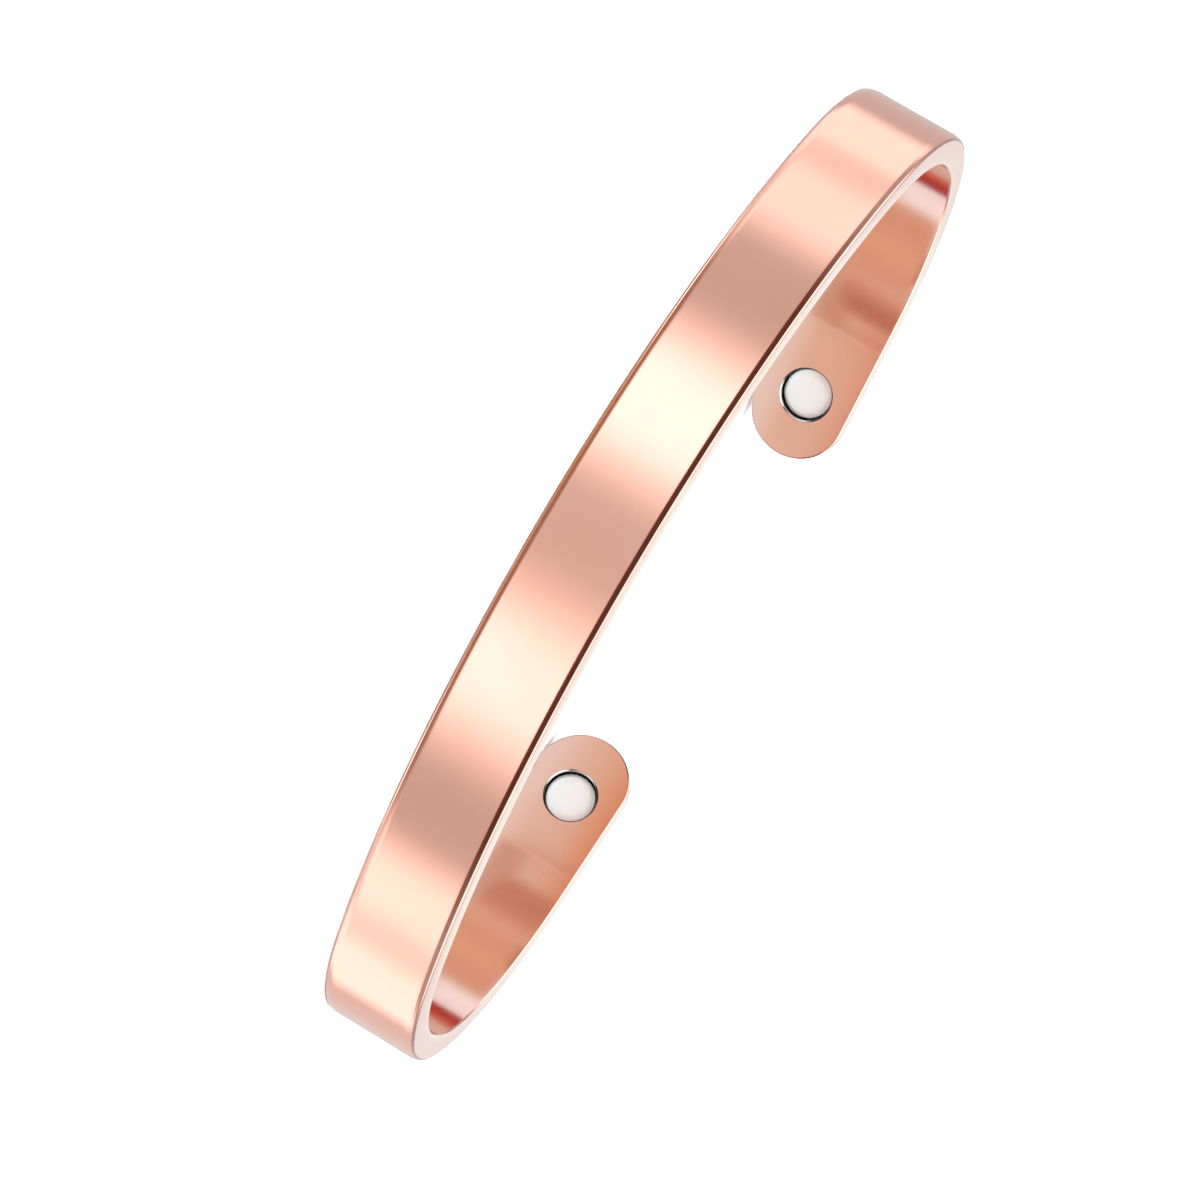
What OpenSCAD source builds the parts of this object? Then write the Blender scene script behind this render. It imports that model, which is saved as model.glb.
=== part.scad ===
// Open oval cuff of polished copper with a disc magnet let into the inner face near each tip.
// It lies on one long edge: the long front curve is towards -Y, the opening towards +Y.
// The origin is at the middle of its outline, on the surface that it lies on.

/* [Oval] */
// Overall length across the two bends
overall_l = 63.7; // [60:0.1:68]
// Outer radius of the long front curve
front_r = 38.3; // [35:0.1:50]
// Outer radius of the two bends
bend_r = 16.8; // [14:0.1:21]
// Lean of each straight end from the long axis, in degrees
end_lean = 18.9; // [8:0.1:28]
// Opening between the two tips, at the outer face
gap_w = 22.2; // [17:0.1:26]

/* [Band] */
// Width of the band, which is its height as it lies
band_w = 6.2; // [5:0.1:8]
// Thickness of the band
band_t = 1.9; // [1.6:0.1:3]
// Width of the bevel along each long edge of the outer face
bevel_w = 0.45; // [0.2:0.01:0.6]
// Depth of that bevel at the edge
bevel_depth = 0.13; // [0.05:0.01:0.3]
// Chamfer of the long edges beside the inner face
inner_chamfer = 0.1; // [0.05:0.01:0.3]

/* [Magnets] */
// Diameter of a magnet
magnet_d = 3.2; // [2.5:0.1:4]
// Height of a magnet
magnet_h = 0.9; // [0.6:0.05:1.05]
// Rounding of the rim of a magnet's face
magnet_rim_r = 0.18; // [0.08:0.02:0.3]
// Distance from a tip to the axis of its magnet, along the band
magnet_inset = 4.3; // [3:0.1:6]
// Depth of a magnet's face below the inner face of the band
face_depth = 0.42; // [0.1:0.02:0.5]
// Clearance round a magnet and under it
magnet_gap = 0.05; // [0.02:0.01:0.1]
// Width of the bevel round the mouth of a pocket
mouth_bevel = 0.07; // [0.03:0.01:0.15]

/* [Hidden] */
$fn = 96;

// Half of the front curve's angle, where a bend's circle touches the front's from inside
front_half = asin((overall_l / 2 - bend_r) / (front_r - bend_r));
// Angle that each bend turns through, on to its straight end
bend_turn = 180 - end_lean - front_half;
// Right bend's centre, and where its straight end starts, from the front middle of the outer face
bend_x = (front_r - bend_r) * sin(front_half);
bend_y = front_r - (front_r - bend_r) * cos(front_half);
end_x = bend_x + bend_r * sin(end_lean);
end_y = bend_y + bend_r * cos(end_lean);
// Length of a straight end to its tip, and of its straight part alone
end_l = (end_x - gap_w / 2) / cos(end_lean);
bar_l = end_l - band_w / 2;
// How far a tip rises past the start of its straight end: to its edge or to where the bevel starts
tip_rise = max(end_l * sin(end_lean) - bevel_depth * cos(end_lean), (end_l - bevel_w) * sin(end_lean));
// Overall depth, from the front of the outer face to the tips
overall_d = end_y + tip_rise;
// Pocket of a magnet, and its axis along the straight end
pocket_r = magnet_d / 2 + magnet_gap;
pocket_depth = face_depth + magnet_h + magnet_gap;
magnet_y = end_l - magnet_inset;
// Angle by which the two sweeps of one curve run into each other
sweep_over = 2;
// Length by which a cutter runs past the face that it starts from
cut_over = 0.2;
copper = "#d08a66";
nickel = "#d9d7d4";

// Frame at the front curve's centre, with +X through the seam between the front and the right bend
module at_seam() {
    translate([0, front_r - overall_d / 2, 0])
        rotate([0, 0, front_half - 90])
            children();
}

// Frame at the right bend's centre, with +X through the start of the straight end and +Y along it
module at_end() {
    at_seam()
        translate([front_r - bend_r, 0, 0])
            rotate([0, 0, bend_turn])
                children();
}

// Section of the band: x runs from the inner face to the outer one, y across the width
module section() {
    polygon([
        [0, inner_chamfer],
        [inner_chamfer, 0],
        [band_t - bevel_depth, 0],
        [band_t, bevel_w],
        [band_t, band_w - bevel_w],
        [band_t - bevel_depth, band_w],
        [inner_chamfer, band_w],
        [0, band_w - inner_chamfer]
    ]);
}

// Section swept round the frame's axis from +X on, with the outer face at radius r
module sweep(r, turn) {
    rotate_extrude(angle = turn)
        translate([r - band_t, 0])
            section();
}

// Half of the front curve and the first half of the right bend, which start at one seam
module front_and_bend() {
    mirror([0, 1, 0])
        sweep(front_r, front_half + sweep_over);
    translate([front_r - bend_r, 0, 0])
        sweep(bend_r, bend_turn / 2 + sweep_over);
}

// Second half of the right bend and the straight end with its rounded tip
module bend_and_end() {
    mirror([0, 1, 0])
        sweep(bend_r, bend_turn / 2 + sweep_over);
    translate([bend_r, 0, 0]) {
        translate([-band_t, 0, 0])
            mirror([0, 1, 0])
                rotate([90, 0, 0])
                    linear_extrude(bar_l)
                        section();
        translate([0, bar_l, band_w / 2])
            tip();
    }
}

// Rounded tip: half of the section turned about the tip's own axis, with the outer face at x = 0
module tip() {
    rotate([0, -90, 0])
        rotate_extrude(angle = 180)
            intersection() {
                translate([0, band_t])
                    rotate([0, 0, -90])
                        translate([0, -band_w / 2])
                            section();
                square([band_w / 2, band_t]);
            }
}

// Blind pocket for a magnet, open at the inner face, with a fine bevel round its mouth
module pocket() {
    translate([bend_r - band_t + pocket_depth, magnet_y, band_w / 2])
        rotate([0, -90, 0]) {
            cylinder(h = pocket_depth + cut_over, r = pocket_r);
            translate([0, 0, pocket_depth - mouth_bevel])
                cylinder(h = mouth_bevel + cut_over, r1 = pocket_r, r2 = pocket_r + mouth_bevel + cut_over);
        }
}

module cuff_band() {
    color(copper)
        for (side = [0, 1])
            mirror([side, 0, 0]) {
                difference() {
                    at_end()
                        bend_and_end();
                    at_end()
                        pocket();
                }
                at_seam()
                    front_and_bend();
            }
}

// Disc magnet standing on the floor of its pocket, its rim rounded beside the face
module magnet() {
    r = magnet_d / 2;
    translate([bend_r - band_t + pocket_depth - magnet_gap, magnet_y, band_w / 2])
        rotate([0, -90, 0])
            rotate_extrude() {
                square([r, magnet_h - magnet_rim_r]);
                square([r - magnet_rim_r, magnet_h]);
                translate([r - magnet_rim_r, magnet_h - magnet_rim_r])
                    circle(magnet_rim_r);
            }
}

module magnet_left() {
    color(nickel)
        mirror([1, 0, 0])
            at_end()
                magnet();
}

module magnet_right() {
    color(nickel)
        at_end()
            magnet();
}

cuff_band();
magnet_left();
magnet_right();
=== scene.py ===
import math

import bmesh
import bpy
from mathutils import Matrix, Quaternion, Vector


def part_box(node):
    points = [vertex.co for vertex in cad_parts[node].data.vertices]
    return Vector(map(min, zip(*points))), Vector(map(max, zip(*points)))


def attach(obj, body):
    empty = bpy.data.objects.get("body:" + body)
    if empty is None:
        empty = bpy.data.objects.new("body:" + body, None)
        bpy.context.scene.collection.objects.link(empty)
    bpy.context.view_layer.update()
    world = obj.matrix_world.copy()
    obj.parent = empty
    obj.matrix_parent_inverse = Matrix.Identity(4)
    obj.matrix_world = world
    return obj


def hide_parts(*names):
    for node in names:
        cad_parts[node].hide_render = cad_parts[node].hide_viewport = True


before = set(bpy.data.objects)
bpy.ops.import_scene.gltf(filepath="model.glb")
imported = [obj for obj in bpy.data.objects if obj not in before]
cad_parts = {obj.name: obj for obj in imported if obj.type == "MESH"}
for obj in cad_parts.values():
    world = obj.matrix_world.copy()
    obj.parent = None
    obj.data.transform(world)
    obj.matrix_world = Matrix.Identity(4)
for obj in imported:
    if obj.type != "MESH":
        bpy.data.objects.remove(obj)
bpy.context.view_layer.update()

# The pieces are modelled in millimetres and brought to metres at the end.
mm = 0.001


# Camera: the photograph's angle to the bracelet, turned well over so that the oval runs up the frame

cameraLook = {
    "azimuth": -1.41,      # degrees round from straight in front
    "elevation": 10.09,    # degrees above the floor
    "roll": 120.68,
    "target": (2.62, -0.04, 1.60),
    "distance": 312.4,
    "lens": 157.9,
    "sensor": 36.0,
    "nearest": 20.0,
    "farthest": 100000.0,
}


def setCamera():
    data = bpy.data.cameras.new("camera")
    data.lens = cameraLook["lens"]
    data.sensor_width = cameraLook["sensor"]
    data.clip_start = cameraLook["nearest"] * mm
    data.clip_end = cameraLook["farthest"] * mm
    camera = bpy.data.objects.new("camera", data)
    bpy.context.scene.collection.objects.link(camera)
    azimuth = math.radians(cameraLook["azimuth"])
    elevation = math.radians(cameraLook["elevation"])
    back = Vector((
        math.sin(azimuth) * math.cos(elevation),
        -math.cos(azimuth) * math.cos(elevation),
        math.sin(elevation),
    ))
    level = (-back).to_track_quat("-Z", "Y")
    roll = Quaternion((0.0, 0.0, 1.0), math.radians(cameraLook["roll"]))
    camera.rotation_mode = "QUATERNION"
    camera.rotation_quaternion = level @ roll
    camera.location = (Vector(cameraLook["target"]) + back * cameraLook["distance"]) * mm
    bpy.context.scene.camera = camera


setCamera()
print("camera: set at the photograph's angle")


# Shader helpers

def addNode(tree, kind, **settings):
    node = tree.nodes.new(kind)
    for name, value in settings.items():
        setattr(node, name, value)
    return node


def plug(tree, socket, value):
    if isinstance(value, bpy.types.NodeSocket):
        tree.links.new(value, socket)
    else:
        socket.default_value = value


def maths(tree, operation, a, b=0.0, c=0.0):
    node = addNode(tree, "ShaderNodeMath", operation=operation)
    plug(tree, node.inputs[0], a)
    plug(tree, node.inputs[1], b)
    plug(tree, node.inputs[2], c)
    return node.outputs[0]


def softStep(tree, value, low, high):
    # 0 below low, 1 above high, eased between them; low may be the higher one, which turns the step round
    node = addNode(tree, "ShaderNodeMapRange", interpolation_type="SMOOTHSTEP")
    flip = low > high
    plug(tree, node.inputs["Value"], value)
    plug(tree, node.inputs["From Min"], high if flip else low)
    plug(tree, node.inputs["From Max"], low if flip else high)
    plug(tree, node.inputs["To Min"], 1.0 if flip else 0.0)
    plug(tree, node.inputs["To Max"], 0.0 if flip else 1.0)
    return node.outputs["Result"]


def mixColour(tree, factor, a, b, blend="MIX"):
    node = addNode(tree, "ShaderNodeMix", data_type="RGBA", blend_type=blend)
    plug(tree, node.inputs[0], factor)
    plug(tree, node.inputs[6], a)
    plug(tree, node.inputs[7], b)
    return node.outputs[2]


def scaledCoordinates(tree, scale=(1.0, 1.0, 1.0), turn=(0.0, 0.0, 0.0)):
    coordinates = addNode(tree, "ShaderNodeTexCoord")
    mapping = addNode(tree, "ShaderNodeMapping")
    plug(tree, mapping.inputs["Scale"], scale)
    plug(tree, mapping.inputs["Rotation"], [math.radians(v) for v in turn])
    tree.links.new(coordinates.outputs["Object"], mapping.inputs["Vector"])
    return mapping.outputs["Vector"]


def noise(tree, vector, scale, detail=3.0, roughness=0.5):
    node = addNode(tree, "ShaderNodeTexNoise")
    plug(tree, node.inputs["Vector"], vector)
    plug(tree, node.inputs["Scale"], scale)
    plug(tree, node.inputs["Detail"], detail)
    plug(tree, node.inputs["Roughness"], roughness)
    return node.outputs["Fac"]


def newGroup(name, inputs, outputs):
    tree = bpy.data.node_groups.new(name, "ShaderNodeTree")
    for label, value in inputs.items():
        socket = tree.interface.new_socket(label, in_out="INPUT", socket_type="NodeSocketFloat")
        socket.default_value = value
    for label in outputs:
        tree.interface.new_socket(label, in_out="OUTPUT", socket_type="NodeSocketFloat")
    return tree, addNode(tree, "NodeGroupInput"), addNode(tree, "NodeGroupOutput")


def useGroup(tree, group, **values):
    node = addNode(tree, "ShaderNodeGroup", node_tree=group)
    for name, value in values.items():
        plug(tree, node.inputs[name], value)
    return node


# Effects shared by the finishes

effects = {
    "lineFrom": (0.25, 0.5),         # noise over which the edge line comes in
    "scratches": [
        {"turn": (20, 35, 10), "stretch": (0.02, 1.0, 1.0)},
        {"turn": (-50, 15, 70), "stretch": (0.03, 1.0, 1.0)},
    ],
    "scratchFrom": (0.60, 0.85),     # noise over which a scratch comes in
    "hairlines": (0.02, 0.02, 1.0),  # their stretch
}


def makeEdgeLine():
    # Broken line along the edges, which each piece marks in its own attribute
    tree, inside, out = newGroup("edge line", {"Patches": 600.0}, ["Mask"])
    edge = addNode(tree, "ShaderNodeAttribute", attribute_name="edge").outputs["Fac"]
    spots = noise(tree, scaledCoordinates(tree), inside.outputs["Patches"], detail=1.0)
    shown = softStep(tree, spots, *effects["lineFrom"])
    tree.links.new(maths(tree, "MULTIPLY", edge, shown), out.inputs["Mask"])
    return tree


def makeScratches():
    # Hair-fine marks from handling: the crests of noise stretched in two directions
    tree, inside, out = newGroup("fine scratches", {"Size": 2500.0}, ["Mask"])
    marks = 0.0
    for scratch in effects["scratches"]:
        place = scaledCoordinates(tree, scratch["stretch"], scratch["turn"])
        streaks = noise(tree, place, inside.outputs["Size"], detail=0.0)
        marks = maths(tree, "MAXIMUM", marks, softStep(tree, streaks, *effects["scratchFrom"]))
    tree.links.new(marks, out.inputs["Mask"])
    return tree


def makePolish():
    # What a polishing wheel leaves: hairlines along the band and a slow change of gloss
    tree, inside, out = newGroup("polish", {"Hairlines": 9000.0, "Haze": 90.0}, ["Lines", "Gloss"])
    along = scaledCoordinates(tree, effects["hairlines"])
    lines = noise(tree, along, inside.outputs["Hairlines"], detail=1.0)
    tree.links.new(lines, out.inputs["Lines"])
    slow = noise(tree, scaledCoordinates(tree), inside.outputs["Haze"], detail=2.0)
    tree.links.new(slow, out.inputs["Gloss"])
    return tree


edgeLine = makeEdgeLine()
fineScratches = makeScratches()
polish = makePolish()

copperLook = {
    "colour": (0.92, 0.50, 0.395, 1.0),
    "deeper": (0.905, 0.48, 0.37, 1.0),
    "edge": (0.06, 0.035, 0.03, 1.0),    # painted reflection: a dark line in the edges, where a polished edge reflects dark
    "edgePatches": 400.0,
    "roughness": 0.13,     # of the clean polish
    "edgeGain": 0.15,      # what the line, the haze and a scratch add to it
    "hazeGain": 0.05,
    "scratchGain": 0.03,
    "hazeSize": 90.0,
    "hazeFrom": (0.35, 0.65),
    "hairlines": 9000.0,
    "scratchSize": 6000.0,
    "bumpHeight": 0.0001,  # mm
}

pocketLook = {
    # The wall's colours are painted shade: the pocket's wall nearly black, darker in patches by noise
    "wall": (0.06, 0.05, 0.048, 1.0),
    "deeperShade": (0.02, 0.016, 0.015, 1.0),
    "mouth": (0.93, 0.88, 0.85, 1.0),    # painted highlight on the mouth's rounding, on one side of it
    "roughness": 0.30,
    "mouthRoughness": 0.15,
    "scratchGain": 0.1,
    "hazeSize": 700.0,
    "hazeFrom": (0.35, 0.65),
    "hairlines": 14000.0,
    "scratchSize": 9000.0,
    "bumpHeight": 0.001,
}

nickelLook = {
    "colour": (0.98, 0.94, 0.93, 1.0),
    "shade": (0.94, 0.90, 0.89, 1.0),
    "rimWhite": (0.98, 0.98, 0.98, 1.0),     # whiter on the rim, in broken patches
    "rimPatches": 900.0,
    "metal": 0.65,         # the satin face scatters the rest of the light
    "roughness": 0.27,
    "rimRoughness": 0.10,
    "grainGain": 0.08,
    "scratchGain": 0.1,
    "grainSize": 16000.0,
    "hazeSize": 500.0,
    "hazeFrom": (0.3, 0.7),
    "scratchSize": 9000.0,
    "bumpHeight": 0.0006,
}


def newMaterial(name):
    material = bpy.data.materials.new(name)
    material.use_nodes = True
    tree = material.node_tree
    return material, tree, tree.nodes["Principled BSDF"]


def addBump(tree, shader, height, distance):
    bump = addNode(tree, "ShaderNodeBump")
    plug(tree, bump.inputs["Height"], height)
    plug(tree, bump.inputs["Distance"], distance * mm)
    tree.links.new(bump.outputs["Normal"], shader.inputs["Normal"])


def makeCopper():
    look = copperLook
    material, tree, shader = newMaterial("polished copper")
    line = useGroup(tree, edgeLine, Patches=look["edgePatches"]).outputs["Mask"]
    marks = useGroup(tree, fineScratches, Size=look["scratchSize"]).outputs["Mask"]
    buffed = useGroup(tree, polish, Hairlines=look["hairlines"], Haze=look["hazeSize"])
    gloss = buffed.outputs["Gloss"]
    body = mixColour(tree, softStep(tree, gloss, *look["hazeFrom"]), look["colour"], look["deeper"])
    # The edge line is a painted reflection: a dark broken line along the marked edges
    plug(tree, shader.inputs["Base Color"], mixColour(tree, line, body, look["edge"]))
    shader.inputs["Metallic"].default_value = 1.0
    least = look["roughness"] - look["hazeGain"] / 2
    haze = maths(tree, "MULTIPLY_ADD", gloss, look["hazeGain"], least)
    scuffed = maths(tree, "MULTIPLY_ADD", marks, look["scratchGain"], haze)
    plug(tree, shader.inputs["Roughness"], maths(tree, "MULTIPLY_ADD", line, look["edgeGain"], scuffed))
    addBump(tree, shader, buffed.outputs["Lines"], look["bumpHeight"])
    return material


def makePocketCopper():
    look = pocketLook
    material, tree, shader = newMaterial("drilled pocket")
    marks = useGroup(tree, fineScratches, Size=look["scratchSize"]).outputs["Mask"]
    buffed = useGroup(tree, polish, Hairlines=look["hairlines"], Haze=look["hazeSize"])
    dark = softStep(tree, buffed.outputs["Gloss"], *look["hazeFrom"])
    # Painted shade: the pocket wall nearly black, darker in patches
    wall = mixColour(tree, dark, look["wall"], look["deeperShade"])
    # The edge attribute marks the painted highlight on the mouth; elsewhere the wall's painted shade shows
    mouth = addNode(tree, "ShaderNodeAttribute", attribute_name="edge").outputs["Fac"]
    plug(tree, shader.inputs["Base Color"], mixColour(tree, mouth, wall, look["mouth"]))
    shader.inputs["Metallic"].default_value = 1.0
    smoother = look["mouthRoughness"] - look["roughness"]
    rough = maths(tree, "MULTIPLY_ADD", mouth, smoother, look["roughness"])
    plug(tree, shader.inputs["Roughness"], maths(tree, "MULTIPLY_ADD", marks, look["scratchGain"], rough))
    addBump(tree, shader, buffed.outputs["Lines"], look["bumpHeight"])
    return material


def makeNickel():
    look = nickelLook
    material, tree, shader = newMaterial("nickel plating")
    rimMask = useGroup(tree, edgeLine, Patches=look["rimPatches"]).outputs["Mask"]
    marks = useGroup(tree, fineScratches, Size=look["scratchSize"]).outputs["Mask"]
    gloss = useGroup(tree, polish, Haze=look["hazeSize"]).outputs["Gloss"]
    grain = noise(tree, scaledCoordinates(tree), look["grainSize"], detail=2.0)
    body = mixColour(tree, softStep(tree, gloss, *look["hazeFrom"]), look["colour"], look["shade"])
    plug(tree, shader.inputs["Base Color"], mixColour(tree, rimMask, body, look["rimWhite"]))
    shader.inputs["Metallic"].default_value = look["metal"]
    satin = maths(tree, "MULTIPLY_ADD", grain, look["grainGain"], look["roughness"])
    satin = maths(tree, "MULTIPLY_ADD", rimMask, look["rimRoughness"] - look["roughness"], satin)
    plug(tree, shader.inputs["Roughness"], maths(tree, "MULTIPLY_ADD", marks, look["scratchGain"], satin))
    addBump(tree, shader, grain, look["bumpHeight"])
    return material


copper = makeCopper()
pocketCopper = makePocketCopper()
nickel = makeNickel()
print("materials: copper, drilled copper and nickel")


# Meshes

def toObject(mesh, name, materials):
    for face in mesh.faces:
        face.smooth = True
    data = bpy.data.meshes.new(name)
    mesh.to_mesh(data)
    mesh.free()
    for material in materials:
        data.materials.append(material)
    piece = bpy.data.objects.new(name, data)
    bpy.context.scene.collection.objects.link(piece)
    return piece


def finishPiece(mesh, name, materials):
    bmesh.ops.scale(mesh, vec=(mm, mm, mm), verts=mesh.verts)
    # A change of finish is a crisp edge
    for edge in mesh.edges:
        edge.smooth = len({face.material_index for face in edge.link_faces}) == 1
    return toObject(mesh, name, materials)


def addOutline(mesh, points, rounds, hold):
    # Closed outline. rounds gives the corners by index, each with its offset, steps and edge mark;
    # the other points lie on a flat. Each flat gets a held point near both of its ends, so that
    # only the rounding bends the light.
    edge = mesh.verts.layers.float.new("edge")
    spots = [Vector(p) for p in points]
    corners, line = {}, []
    for i, spot in enumerate(spots):
        if i not in rounds:
            line.append(mesh.verts.new(spot))
            continue
        before, after = spots[i - 1], spots[(i + 1) % len(spots)]
        offset, _, mark = rounds[i]
        reach = offset + hold
        line.append(mesh.verts.new(spot + (before - spot).normalized() * reach))
        corners[i] = mesh.verts.new(spot)
        corners[i][edge] = mark
        line.append(corners[i])
        line.append(mesh.verts.new(spot + (after - spot).normalized() * reach))
    mesh.faces.new(line)
    for i, (offset, steps, _) in rounds.items():
        bmesh.ops.bevel(
            mesh,
            geom=[corners[i]],
            affect="VERTICES",
            offset=offset,
            segments=steps,
            profile=0.5,
            material=-1,
        )
    bmesh.ops.delete(mesh, geom=mesh.faces[:], context="FACES_ONLY")
    return mesh.verts[:] + mesh.edges[:]


def closeSeams(mesh, reach):
    bmesh.ops.remove_doubles(mesh, verts=mesh.verts, dist=reach)
    bmesh.ops.recalc_face_normals(mesh, faces=mesh.faces)


# Band

bandShape = {
    "frontRadius": 38.3,     # outer face of the long front curve
    "bendRadius": 16.8,      # outer face of the two bends
    "endLean": 18.9,         # degrees
    "gap": 22.2,
    "thickness": 1.9,
    "bevelWidth": 0.45,
    "bevelDepth": 0.13,
    "innerChamfer": 0.1,
    "lip": 0.1,              # bright facet between the bevel and the wall
    "lipRound": 0.05,
    "crown": 0.03,           # how much the two walls are domed by the polishing wheel
    "softRound": 0.12,       # where the bevel leaves the outer face
    "crispRound": 0.03,      # the edges beside the inner face
    "roundSteps": 3,
    # Stronger painted dark edge lines (painted reflection) at the straight ends, by depth below the outer
    # face: where the walls meet the bevels, and on the inner chamfer round the tip alone
    "endMarks": [
        {"depth": (0.1, 0.4), "gain": 2.0, "onBar": True},
        {"depth": (1.7, 2.0), "gain": 7.0, "onBar": False},
    ],
    "gainOver": 1.0,         # length of band over which such a gain comes in
    "hold": 0.03,
    "frontSteps": 60,
    "bendSteps": 117,
    "barSteps": 8,
    "tipSteps": 48,
    "weld": 0.0004,
}


def bandLayout():
    # Centres and angles of the right half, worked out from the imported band's own box
    low, high = [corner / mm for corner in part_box("cuff_band")]
    shape = bandShape
    reach = shape["frontRadius"] - shape["bendRadius"]
    frontHalf = math.asin((high.x - shape["bendRadius"]) / reach)
    lean = math.radians(shape["endLean"])
    frontCentre = Vector((0.0, low.y + shape["frontRadius"], 0.0))
    bendCentre = frontCentre + reach * Vector((math.sin(frontHalf), -math.cos(frontHalf), 0.0))
    outward = Vector((math.sin(lean), math.cos(lean), 0.0))
    along = Vector((-math.cos(lean), math.sin(lean), 0.0))
    endStart = bendCentre + outward * shape["bendRadius"]
    endLength = (endStart.x - shape["gap"] / 2) / math.cos(lean)
    return {
        "front": low.y,
        "width": high.z,
        "frontHalf": frontHalf,
        "bendTurn": math.pi - lean - frontHalf,
        "frontCentre": frontCentre,
        "bendCentre": bendCentre,
        "outward": outward,
        "along": along,
        "endStart": endStart,
        "endLength": endLength,
    }


layout = bandLayout()


def fitDepth(mesh):
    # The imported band's box is that of its facets, a few thousandths of a millimetre smaller
    # than the true curves
    low, high = [corner.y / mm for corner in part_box("cuff_band")]
    reach = max(v.co.y for v in mesh.verts) - low
    bmesh.ops.translate(mesh, vec=(0.0, -low, 0.0), verts=mesh.verts)
    bmesh.ops.scale(mesh, vec=(1.0, (high - low) / reach, 1.0), verts=mesh.verts)
    bmesh.ops.translate(mesh, vec=(0.0, low, 0.0), verts=mesh.verts)


def bandSection(mesh):
    # Section at the front middle: y goes in from the outer face, z across the width
    shape = bandShape
    front, width = layout["front"], layout["width"]
    depth, chamfer = shape["thickness"], shape["innerChamfer"]
    bevel, lip, crown = shape["bevelWidth"], shape["lip"], shape["crown"]
    lipDepth = shape["bevelDepth"] * (1 - lip / bevel)
    wallStart = shape["bevelDepth"] + lip
    wallMiddle = (wallStart + depth - chamfer) / 2
    lower = [
        (depth, width / 2),
        (depth, chamfer),
        (depth - chamfer, crown),
        (wallMiddle, 0.0),
        (wallStart, crown),
        (lipDepth, lip),
        (0.0, bevel),
    ]
    upper = [(y, width - z) for y, z in reversed(lower[1:])]
    points = [*lower, (0.0, width / 2), *upper]
    last = len(points) - 1
    # Each corner's rounding, with the strength of its painted dark edge line below and above
    kinds = [
        (1, shape["crispRound"], 1.0, 0.1),
        (2, shape["crispRound"], 0.3, 0.15),
        (4, shape["lipRound"], 1.0, 0.5),
        (5, shape["lipRound"], 0.0, 0.0),
        (6, shape["softRound"], 0.0, 0.0),
    ]
    rounds = {}
    for i, offset, lowMark, highMark in kinds:
        rounds[i] = (offset, shape["roundSteps"], lowMark)
        rounds[last + 1 - i] = (offset, shape["roundSteps"], highMark)
    return addOutline(mesh, [(0.0, front + y, z) for y, z in points], rounds, shape["hold"])


def sweep(mesh, ring, centre, angle, steps):
    turned = bmesh.ops.spin(mesh, geom=ring, cent=centre, axis=(0.0, 0.0, 1.0), angle=angle, steps=steps)
    return turned["geom_last"]


def markEnd(mesh, tipCentre, barLength):
    shape = bandShape
    edge = mesh.verts.layers.float["edge"]
    behind = [vert for vert in mesh.verts if vert.co.y > layout["bendCentre"].y]
    for change in shape["endMarks"]:
        start = -barLength if change["onBar"] else 0.0
        for vert in behind:
            past = (vert.co - tipCentre).dot(layout["along"]) - start
            depth = (layout["endStart"] - vert.co).dot(layout["outward"])
            if past > 0.0 and change["depth"][0] < depth < change["depth"][1]:
                gain = 1.0 + (change["gain"] - 1.0) * min(past / shape["gainOver"], 1.0)
                vert[edge] = min(vert[edge] * gain, 1.0)


def makeBandBody():
    shape = bandShape
    mesh = bmesh.new()
    ring = bandSection(mesh)
    ring = sweep(mesh, ring, layout["frontCentre"], layout["frontHalf"], shape["frontSteps"])
    ring = sweep(mesh, ring, layout["bendCentre"], layout["bendTurn"], shape["bendSteps"])
    barLength = layout["endLength"] - layout["width"] / 2
    step = layout["along"] * barLength / shape["barSteps"]
    ring = bmesh.ops.spin(
        mesh,
        geom=ring,
        cent=(0.0, 0.0, 0.0),
        axis=(0.0, 0.0, 1.0),
        dvec=step,
        angle=0.0,
        steps=shape["barSteps"],
    )["geom_last"]
    # Rounded tip: the upper half of the last section turned over about the tip's own axis
    middle = layout["width"] / 2
    upper = [v for v in ring if isinstance(v, bmesh.types.BMVert) and v.co.z > middle - shape["weld"]]
    upperEdges = [e for e in ring if isinstance(e, bmesh.types.BMEdge) and all(v in upper for v in e.verts)]
    tipCentre = layout["endStart"] + layout["along"] * barLength + Vector((0.0, 0.0, middle))
    bmesh.ops.spin(
        mesh,
        geom=upper + upperEdges,
        cent=tipCentre,
        axis=-layout["outward"],
        angle=math.pi,
        steps=shape["tipSteps"],
    )
    bmesh.ops.remove_doubles(mesh, verts=mesh.verts, dist=shape["weld"])
    markEnd(mesh, tipCentre, barLength)
    half = mesh.verts[:] + mesh.edges[:] + mesh.faces[:]
    bmesh.ops.mirror(mesh, geom=half, axis="X", merge_dist=shape["weld"])
    closeSeams(mesh, shape["weld"])
    fitDepth(mesh)
    return mesh


# Magnets and their pockets

magnetShape = {
    "diameter": 3.2,
    "height": 0.9,
    "inset": 4.3,            # from the tip to the magnet's axis, along the band
    "faceDepth": 0.42,       # of its face below the band's inner face
    "clearance": 0.05,
    "rimWidth": 0.36,        # the face falls away a little towards its rim
    "rimDrop": 0.06,
    "rimBlend": 0.12,
    "rimRound": 0.07,
    "rimSteps": 4,
    "footRound": 0.05,
    "footSteps": 2,
    "mouthRound": 0.16,
    "mouthSteps": 5,
    "mouthRise": 0.1,        # how far the cutter stands over the inner face, in mouthRounds
    "mouthReach": 0.7,       # how far its edge mark, which carries the painted highlight, reaches below the inner face, in mouthRounds
    "highlightSide": 30.0,      # middle of the mouth's painted highlight: degrees down from the side towards the tip
    "highlightFrom": (0.35, 0.3),    # cosine off that middle where it starts, and over how much it comes in
    "toolRing": 1.11,        # height of a lighter ring in the wall, a painted highlight
    "toolRingWidth": 0.12,
    "toolRingMark": 0.5,
    "cutOver": 0.3,
    "hold": 0.02,
    "steps": 96,
    "weld": 0.0004,
}


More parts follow.
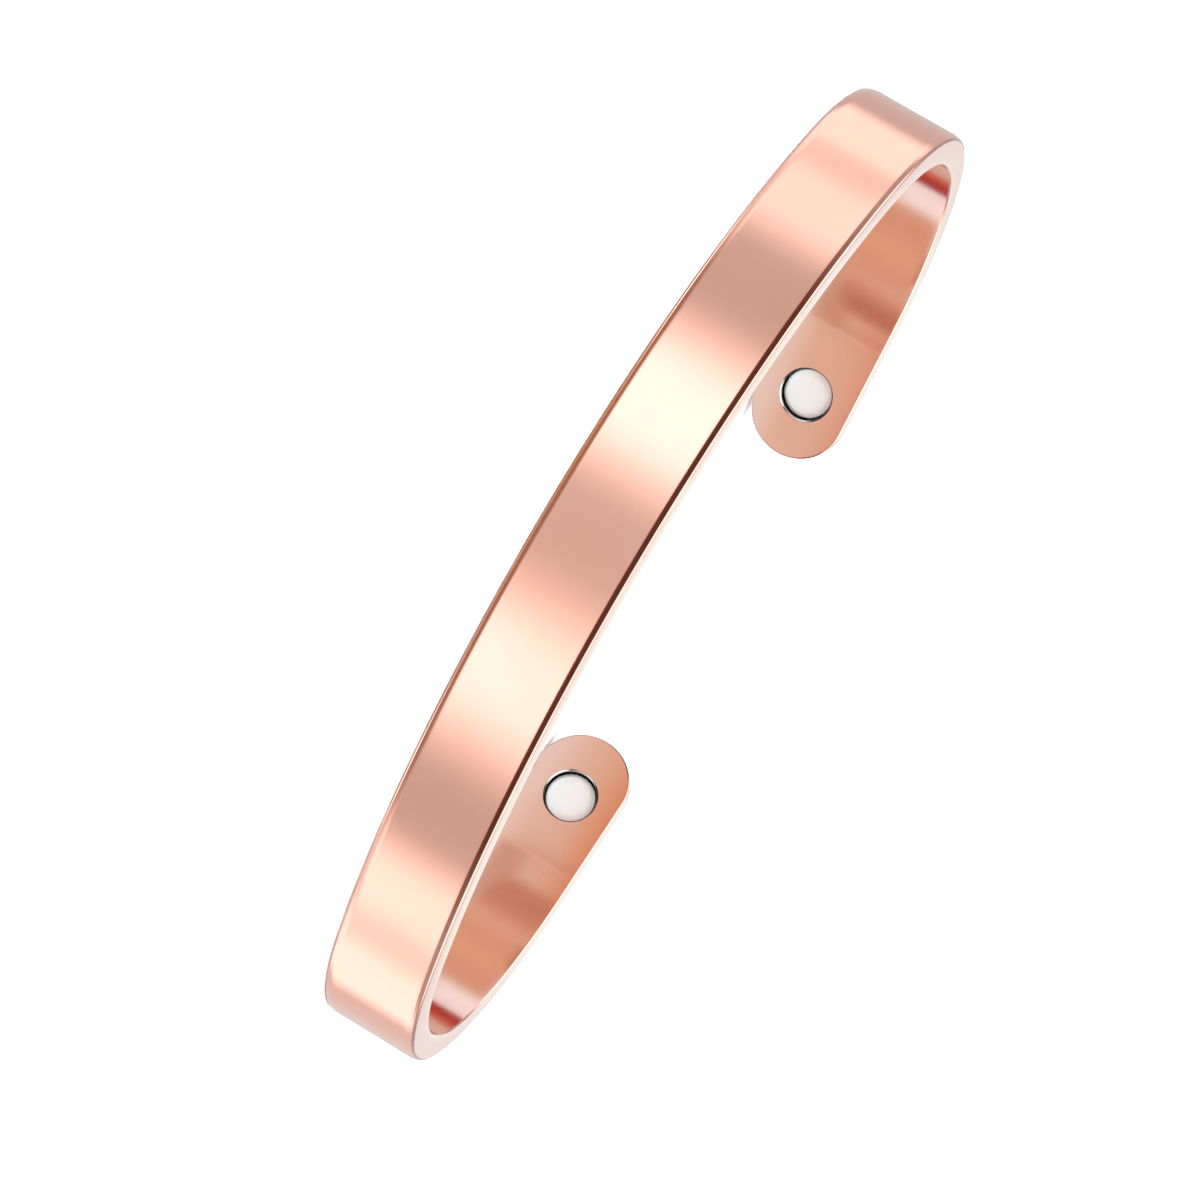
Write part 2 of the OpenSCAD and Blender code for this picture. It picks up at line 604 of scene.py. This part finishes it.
def pocketFrame(side):
    # Stands at the middle of a pocket's floor, with z towards the wrist
    out, along = layout["outward"], layout["along"]
    depth = magnetShape["faceDepth"] + magnetShape["height"] + magnetShape["clearance"]
    reach = layout["endLength"] - magnetShape["inset"]
    place = layout["endStart"] + along * reach - out * (bandShape["thickness"] - depth)
    place.z = layout["width"] / 2
    across = (-out).cross(along)
    turn = Matrix((along, across, -out)).transposed().to_4x4()
    mirror = Matrix.Scale(side, 4, Vector((1.0, 0.0, 0.0)))
    return mirror @ Matrix.Translation(place) @ turn


def turnedShape(points, rounds, place):
    # Outline of (radius, height) points, turned all round the z axis
    mesh = bmesh.new()
    addOutline(mesh, [(r, 0.0, h) for r, h in points], rounds, magnetShape["hold"])
    onAxis = [e for e in mesh.edges if all(abs(v.co.x) < magnetShape["weld"] for v in e.verts)]
    bmesh.ops.delete(mesh, geom=onAxis, context="EDGES")
    bmesh.ops.spin(
        mesh,
        geom=mesh.verts[:] + mesh.edges[:],
        cent=(0.0, 0.0, 0.0),
        axis=(0.0, 0.0, 1.0),
        angle=math.tau,
        steps=magnetShape["steps"],
        use_merge=True,
    )
    bmesh.ops.transform(mesh, matrix=place, verts=mesh.verts)
    closeSeams(mesh, magnetShape["weld"])
    return mesh


def makeCutter(side):
    shape = magnetShape
    radius = shape["diameter"] / 2 + shape["clearance"]
    depth = shape["faceDepth"] + shape["height"] + shape["clearance"]
    rise = shape["mouthRound"] * shape["mouthRise"]
    ring, half = shape["toolRing"], shape["toolRingWidth"] / 2
    points = [
        (0.0, 0.0),
        (radius, 0.0),
        (radius, ring - half),
        (radius, ring),
        (radius, ring + half),
        (radius, depth + rise / 2),
        (radius + shape["cutOver"], depth + rise * 2),
        (0.0, depth + shape["cutOver"]),
    ]
    rounds = {5: (shape["mouthRound"], shape["mouthSteps"], 1.0)}
    mesh = turnedShape(points, rounds, pocketFrame(side))
    return toObject(mesh, "pocketCutter", [pocketCopper])


def makeMagnet(side, name):
    shape = magnetShape
    radius, height = shape["diameter"] / 2, shape["height"]
    points = [
        (0.0, 0.0),
        (radius, 0.0),
        (radius, height - shape["rimDrop"]),
        (radius - shape["rimWidth"], height),
        (0.0, height),
    ]
    rounds = {
        1: (shape["footRound"], shape["footSteps"], 0.0),
        2: (shape["rimRound"], shape["rimSteps"], 1.0),
        3: (shape["rimBlend"], shape["rimSteps"], 0.0),
    }
    lift = Matrix.Translation((0.0, 0.0, shape["clearance"]))
    return finishPiece(turnedShape(points, rounds, pocketFrame(side) @ lift), name, [nickel])


def markPockets(mesh):
    # The cut mixes the edge marks up, so those inside the pockets are set again by their height.
    # The mouth's rounding gets a painted highlight on the side towards the tip and the resting edge, and
    # shows the wall's painted shade elsewhere.
    shape = magnetShape
    edge = mesh.verts.layers.float["edge"]
    depth = shape["faceDepth"] + shape["height"] + shape["clearance"]
    mouth = depth - shape["mouthRound"] * shape["mouthReach"]
    turn = math.radians(shape["highlightSide"])
    highlightMiddle = Vector((math.cos(turn), math.sin(turn)))
    toPocket = {side: pocketFrame(side).inverted() for side in (1, -1)}
    for vert in mesh.verts:
        inside = [face.material_index == 1 for face in vert.link_faces]
        if not any(inside):
            continue
        spot = toPocket[1 if vert.co.x > 0.0 else -1] @ vert.co
        vert[edge] = 0.0
        if all(inside) and spot.z > mouth:
            towards = spot.xy.normalized().dot(highlightMiddle)
            vert[edge] = min(max((towards - shape["highlightFrom"][0]) / shape["highlightFrom"][1], 0.0), 1.0)
        # A thin ring partway towards the mouth's colour: a painted highlight in the wall
        elif abs(spot.z - shape["toolRing"]) < shape["toolRingWidth"] / 4:
            vert[edge] = shape["toolRingMark"]


def makeBand():
    body = toObject(makeBandBody(), "bandBody", [copper, pocketCopper])
    cutters = [makeCutter(side) for side in (1, -1)]
    for cutter in cutters:
        cut = body.modifiers.new("pocket", "BOOLEAN")
        cut.operation = "DIFFERENCE"
        cut.solver = "EXACT"
        cut.material_mode = "TRANSFER"
        cut.object = cutter
    mesh = bmesh.new()
    mesh.from_object(body, bpy.context.evaluated_depsgraph_get())
    for used in [body, *cutters]:
        bpy.data.objects.remove(used)
    markPockets(mesh)
    return finishPiece(mesh, "copperBand", [copper, pocketCopper])


pieces = {
    "cuff_band": (makeBand(), "polished_copper"),
    "magnet_right": (makeMagnet(1, "magnetRight"), "magnet_plating"),
    "magnet_left": (makeMagnet(-1, "magnetLeft"), "magnet_plating"),
}
for node, (piece, slot) in pieces.items():
    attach(piece, "root")
    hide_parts(node)
    print("piece:", piece.name, "with", len(piece.data.polygons), "faces")


# Studio

# Tall soft lights round the bracelet, each at an azimuth from straight in front towards +X
softLights = [
    {"azimuth": -28.0, "half": 13.5, "edge": 9.0, "light": 1.86},
    {"azimuth": 28.0, "half": 14.0, "edge": 11.0, "light": 1.74},
    {"azimuth": -78.0, "half": 9.5, "edge": 6.0, "light": 1.46},
    {"azimuth": 78.0, "half": 9.5, "edge": 6.0, "light": 1.60},
    {"azimuth": -109.0, "half": 17.0, "edge": 6.0, "light": 1.44},
    {"azimuth": 108.0, "half": 17.0, "edge": 6.0, "light": 1.68},
    {"azimuth": 0.0, "half": 9.0, "edge": 6.0, "light": 0.77},
    {"azimuth": 145.0, "half": 18.0, "edge": 7.0, "light": 0.84},
]

studio = {
    "dim": 0.68,             # between the soft lights
    "highDark": 0.10,        # above them, in front
    "lowDark": 0.30,         # below them, in front
    "lowDim": 0.85,          # and below them at the sides
    "highDim": 0.50,         # above them at the sides
    "aside": (55.0, 90.0),
    "highTint": (1.1, 0.55, 0.40, 1.0),    # of the dark parts in front
    "lowTint": (1.20, 0.92, 0.74, 1.0),
    "cooler": (0.0, 0.07, 0.11),     # how much the bright lights lean to blue, for each channel
    "high": (4.0, 10.0),     # elevations in degrees where the lights end
    "low": (-26.0, -41.0),
    "roof": (30.0, 40.0),
    "roofLight": 1.7,
    "under": (-50.0, -58.0),
    "underLight": 1.7,
    "back": 179.0,           # middle of the panel behind, which the upper wall shows
    "backWhite": (5.6, 3.6),
    "backReach": (16.0, 12.0),
    "backLow": (2.0, 5.0),
    "backHigh": (19.0, 16.0),
    "backLight": (1.03, 1.30, 1.32, 1.0),
    "backCool": (0.92, 1.05, 1.08, 1.0),
    "background": (1.0, 1.0, 1.0, 1.0),
}


def makeStudio():
    world = bpy.data.worlds.new("studio")
    bpy.context.scene.world = world
    world.use_nodes = True
    tree = world.node_tree
    look = studio
    direction = addNode(tree, "ShaderNodeSeparateXYZ")
    tree.links.new(addNode(tree, "ShaderNodeTexCoord").outputs["Generated"], direction.inputs[0])
    x, y, z = direction.outputs
    azimuth = maths(tree, "DEGREES", maths(tree, "ARCTAN2", x, maths(tree, "MULTIPLY", y, -1.0)))
    elevation = maths(tree, "DEGREES", maths(tree, "ARCSINE", z))
    level = look["dim"]
    for box in softLights:
        off = maths(tree, "ABSOLUTE", maths(tree, "SUBTRACT", azimuth, box["azimuth"]))
        glow = softStep(tree, off, box["half"] + box["edge"], box["half"] - box["edge"])
        level = maths(tree, "MULTIPLY_ADD", glow, box["light"] - look["dim"], level)
    above = softStep(tree, elevation, *look["high"])
    below = softStep(tree, elevation, *look["low"])
    middle = maths(tree, "SUBTRACT", maths(tree, "SUBTRACT", 1.0, above), below)
    light = maths(tree, "MULTIPLY", level, middle)
    aside = softStep(tree, maths(tree, "ABSOLUTE", azimuth), *look["aside"])
    highLight = maths(tree, "MULTIPLY_ADD", aside, look["highDim"] - look["highDark"], look["highDark"])
    light = maths(tree, "ADD", maths(tree, "MULTIPLY", above, highLight), light)
    lowLight = maths(tree, "MULTIPLY_ADD", aside, look["lowDim"] - look["lowDark"], look["lowDark"])
    light = maths(tree, "ADD", maths(tree, "MULTIPLY", below, lowLight), light)
    roof = softStep(tree, elevation, *look["roof"])
    under = softStep(tree, elevation, *look["under"])
    light = maths(tree, "MULTIPLY_ADD", roof, look["roofLight"], light)
    light = maths(tree, "MULTIPLY_ADD", under, look["underLight"], light)
    grey = addNode(tree, "ShaderNodeCombineColor")
    for socket, gain in zip(grey.inputs, look["cooler"]):
        lean = maths(tree, "MULTIPLY_ADD", light, gain, 1.0 - gain * look["dim"])
        tree.links.new(maths(tree, "MULTIPLY", light, lean), socket)
    inFront = maths(tree, "SUBTRACT", 1.0, aside)
    highShade = maths(tree, "MULTIPLY", inFront, maths(tree, "SUBTRACT", above, roof))
    lowShade = maths(tree, "MULTIPLY", inFront, maths(tree, "SUBTRACT", below, under))
    room = mixColour(tree, highShade, grey.outputs[0], look["highTint"], "MULTIPLY")
    room = mixColour(tree, lowShade, room, look["lowTint"], "MULTIPLY")
    # Panel behind: white in the middle, cooler and dimmer at its two ends
    turn = maths(tree, "WRAP", azimuth, 360.0, 0.0)
    off = maths(tree, "ABSOLUTE", maths(tree, "SUBTRACT", turn, look["back"]))
    panel = mixColour(tree, softStep(tree, off, *look["backWhite"]), look["backCool"], look["backLight"])
    there = softStep(tree, off, *look["backReach"])
    for reach in (look["backLow"], look["backHigh"]):
        there = maths(tree, "MULTIPLY", there, softStep(tree, elevation, *reach))
    seen = addNode(tree, "ShaderNodeLightPath").outputs["Is Camera Ray"]
    colour = mixColour(tree, seen, mixColour(tree, there, room, panel), look["background"])
    tree.links.new(colour, tree.nodes["Background"].inputs["Color"])


# Card at floor level inside the ring, which only the inner faces show: warm in front, paler at the opening
reflector = {
    "drop": 0.005,
    "middle": 4.5,           # its centre is behind the ring's
    "long": 30.5,
    "deep": 25.5,
    "steps": 96,
    "warm": (0.78, 0.64, 0.52, 1.0),
    "warmer": (0.76, 0.50, 0.26, 1.0),   # towards -X, which the right end shows
    "warmerFrom": (3.0, -4.0),
    "clear": (0.87, 1.09, 1.15, 1.0),
    "opening": (1.0, 1.40, 1.60, 1.0),
    "clearFrom": ((-18.0, 0.0), (5.0, 16.0)),
    "openingFrom": (17.0, 20.0),
    "beside": (0.80, 0.63, 0.58, 1.0),   # dims it outside the lines of the bend cards
    "besideFrom": (-0.15, 0.35),
    "besideBack": ((-1.0, 3.0), (13.0, 10.0)),
}


def newCardMaterial(name):
    material = bpy.data.materials.new(name)
    material.use_nodes = True
    material.node_tree.nodes.clear()
    return material, material.node_tree


def makeGlow(tree, colour, oneSided=False):
    glow = addNode(tree, "ShaderNodeEmission")
    plug(tree, glow.inputs["Color"], colour)
    surface = glow.outputs[0]
    if oneSided:
        mixed = addNode(tree, "ShaderNodeMixShader")
        tree.links.new(addNode(tree, "ShaderNodeNewGeometry").outputs["Backfacing"], mixed.inputs[0])
        tree.links.new(surface, mixed.inputs[1])
        tree.links.new(addNode(tree, "ShaderNodeBsdfTransparent").outputs[0], mixed.inputs[2])
        surface = mixed.outputs[0]
    end = addNode(tree, "ShaderNodeOutputMaterial")
    tree.links.new(surface, end.inputs["Surface"])


def stageCard(card):
    card.visible_camera = False
    card.visible_diffuse = False
    card.visible_shadow = False


def makeReflector():
    look = reflector
    mesh = bmesh.new()
    bmesh.ops.create_circle(mesh, cap_ends=True, segments=look["steps"], radius=1.0)
    bmesh.ops.scale(mesh, vec=(look["long"], look["deep"], 1.0), verts=mesh.verts)
    bmesh.ops.translate(mesh, vec=(0.0, look["middle"], -look["drop"]), verts=mesh.verts)
    bmesh.ops.scale(mesh, vec=(mm, mm, mm), verts=mesh.verts)
    material, tree = newCardMaterial("reflector")
    place = addNode(tree, "ShaderNodeSeparateXYZ")
    tree.links.new(scaledCoordinates(tree, (1 / mm, 1 / mm, 1 / mm)), place.inputs[0])
    aside, back, _ = place.outputs
    first, second = [softStep(tree, back, *reach) for reach in look["clearFrom"]]
    clear = maths(tree, "MULTIPLY", maths(tree, "ADD", first, second), 0.5)
    warm = mixColour(tree, softStep(tree, aside, *look["warmerFrom"]), look["warm"], look["warmer"])
    colour = mixColour(tree, clear, warm, look["clear"])
    # Distance outside the line of the bend card on either side
    inner, bearing = bendCardLine()
    outside = maths(tree, "MULTIPLY", maths(tree, "ABSOLUTE", aside), -bearing.y)
    outside = maths(tree, "MULTIPLY_ADD", back, bearing.x, outside)
    outside = maths(tree, "SUBTRACT", outside, bearing.x * inner.y - bearing.y * inner.x)
    beside = softStep(tree, outside, *look["besideFrom"])
    for reach in look["besideBack"]:
        beside = maths(tree, "MULTIPLY", beside, softStep(tree, back, *reach))
    colour = mixColour(tree, beside, colour, look["beside"], "MULTIPLY")
    makeGlow(tree, mixColour(tree, softStep(tree, back, *look["openingFrom"]), colour, look["opening"]))
    stageCard(toObject(mesh, "reflector", [material]))


# Two low cards inside the ring face the bends, each in line with what one straight end shows of the
# floor, so that the ends don't show them
bendCards = {
    "inset": 1.0,            # where a card's line leaves the straight end, from the end's start
    "bearing": (-0.566, -0.824, 0.0),
    "near": 2.6,             # along that line
    "far": 19.0,
    "height": 4.4,
    "colour": (0.71, 0.53, 0.40, 1.0),
    "steps": [
        {"from": (3.8, 2.7), "colour": (1.0, 1.40, 1.60, 1.0)},
        {"from": (4.8, 5.5), "to": (6.2, 6.7), "colour": (0.79, 0.64, 0.48, 1.0)},
        {"from": (7.0, 7.8), "to": (8.1, 9.0), "colour": (0.82, 0.74, 0.63, 1.0)},
        {"from": (8.4, 9.6), "colour": (0.56, 0.36, 0.28, 1.0)},
        {"from": (20.0, 24.0), "colour": (0.48, 0.24, 0.18, 1.0)},
    ],
    # By how much the left card's bands are shifted, from point to point along its line
    "shifts": {
        1: {},
        -1: {4.0: 0.0, 6.0: -0.6, 9.0: -0.6, 9.8: 0.0, 10.6: 13.6},
    },
}

# Two more close before the inner faces, seen only from the bends across
nearCards = {
    "lift": 0.1,
    "turnFrom": 100.0,       # degrees round from straight in front
    "end": 9.0,              # along the straight end
    "step": 4.0,
    "height": 6.0,
    "colour": (0.72, 0.59, 0.53, 1.0),
    "steps": [
        {"from": (130.0, 147.0), "colour": (0.58, 0.14, 0.09, 1.0)},
        {"from": (147.0, 156.0), "colour": (0.38, 0.015, 0.012, 1.0)},
        {"from": (163.5, 169.5), "colour": (1.0, 1.30, 1.50, 1.0)},
    ],
}


def bendCardLine():
    inner = layout["endStart"] - layout["outward"] * bandShape["thickness"]
    return inner + layout["along"] * bendCards["inset"], Vector(bendCards["bearing"])


def raiseCard(mesh, along, spots, side, height):
    # spots gives each point of the right card's foot with its place along the card
    foot = []
    for spot, place in spots:
        foot.append(mesh.verts.new((spot.x * side, spot.y, 0.0)))
        foot[-1][along] = place
    edges = [mesh.edges.new(pair) for pair in zip(foot, foot[1:])]
    raised = bmesh.ops.extrude_edge_only(mesh, edges=edges)["geom"]
    top = [v for v in raised if isinstance(v, bmesh.types.BMVert)]
    bmesh.ops.translate(mesh, vec=(0.0, 0.0, height), verts=top)


def finishCard(mesh, name, look, oneSided=False):
    bmesh.ops.scale(mesh, vec=(mm, mm, mm), verts=mesh.verts)
    material, tree = newCardMaterial(name)
    place = addNode(tree, "ShaderNodeAttribute", attribute_name="along").outputs["Fac"]
    colour = look["colour"]
    for step in look["steps"]:
        there = softStep(tree, place, *step["from"])
        if "to" in step:
            there = maths(tree, "SUBTRACT", there, softStep(tree, place, *step["to"]))
        colour = mixColour(tree, there, colour, step["colour"])
    makeGlow(tree, colour, oneSided)
    stageCard(toObject(mesh, name, [material]))


def makeBendCards():
    look = bendCards
    inner, bearing = bendCardLine()
    mesh = bmesh.new()
    along = mesh.verts.layers.float.new("along")
    for side, shifts in look["shifts"].items():
        last = list(shifts.values())[-1] if shifts else 0.0
        places = {look["near"]: 0.0, **shifts, look["far"]: last}
        spots = [(inner + bearing * reach, reach + moved) for reach, moved in places.items()]
        raiseCard(mesh, along, spots, side, look["height"])
    finishCard(mesh, "bendCards", look)


def makeNearCards():
    look = nearCards
    radius = bandShape["bendRadius"] - bandShape["thickness"] - look["lift"]
    last = 180.0 - bandShape["endLean"]
    count = math.ceil((last - look["turnFrom"]) / look["step"])
    spots = []
    for i in range(count + 1):
        turn = look["turnFrom"] + (last - look["turnFrom"]) * i / count
        out = Vector((math.sin(math.radians(turn)), -math.cos(math.radians(turn)), 0.0))
        spots.append((layout["bendCentre"] + out * radius, turn))
    spots.append((spots[-1][0] + layout["along"] * look["end"], last + math.degrees(look["end"] / radius)))
    mesh = bmesh.new()
    along = mesh.verts.layers.float.new("along")
    for side in (1, -1):
        raiseCard(mesh, along, spots, side, look["height"])
    # Their faces look at the wrist
    mesh.normal_update()
    middle = Vector((0.0, layout["bendCentre"].y, 0.0))
    away = [face for face in mesh.faces if face.normal.dot(middle - face.calc_center_median()) < 0.0]
    bmesh.ops.reverse_faces(mesh, faces=away)
    finishCard(mesh, "nearCards", look, oneSided=True)


floorLook = {
    "size": 6000.0,
    "drop": 0.01,
    "colour": (0.93, 0.93, 0.93, 1.0),
    "roughness": 0.9,
    "specular": 0.1,
}


def makeFloor():
    mesh = bmesh.new()
    bmesh.ops.create_grid(mesh, x_segments=1, y_segments=1, size=floorLook["size"] / 2)
    bmesh.ops.translate(mesh, vec=(0.0, 0.0, -floorLook["drop"]), verts=mesh.verts)
    bmesh.ops.scale(mesh, vec=(mm, mm, mm), verts=mesh.verts)
    material, tree, shader = newMaterial("pale floor")
    shader.inputs["Base Color"].default_value = floorLook["colour"]
    shader.inputs["Roughness"].default_value = floorLook["roughness"]
    shader.inputs["Specular IOR Level"].default_value = floorLook["specular"]
    floor = toObject(mesh, "floor", [material])
    floor.visible_glossy = False


keyLight = {"towards": (-0.25, -0.35, 0.9), "softness": 70.0, "power": 1.6}


def makeKeyLight():
    data = bpy.data.lights.new("overhead", "SUN")
    data.angle = math.radians(keyLight["softness"])
    data.energy = keyLight["power"]
    light = bpy.data.objects.new("overhead", data)
    light.rotation_mode = "QUATERNION"
    light.rotation_quaternion = Vector(keyLight["towards"]).to_track_quat("Z", "Y")
    light.visible_glossy = False
    bpy.context.scene.collection.objects.link(light)


makeStudio()
makeFloor()
makeReflector()
makeBendCards()
makeNearCards()
makeKeyLight()
bpy.context.scene.view_settings.view_transform = "Standard"
print("studio: lights and floor")
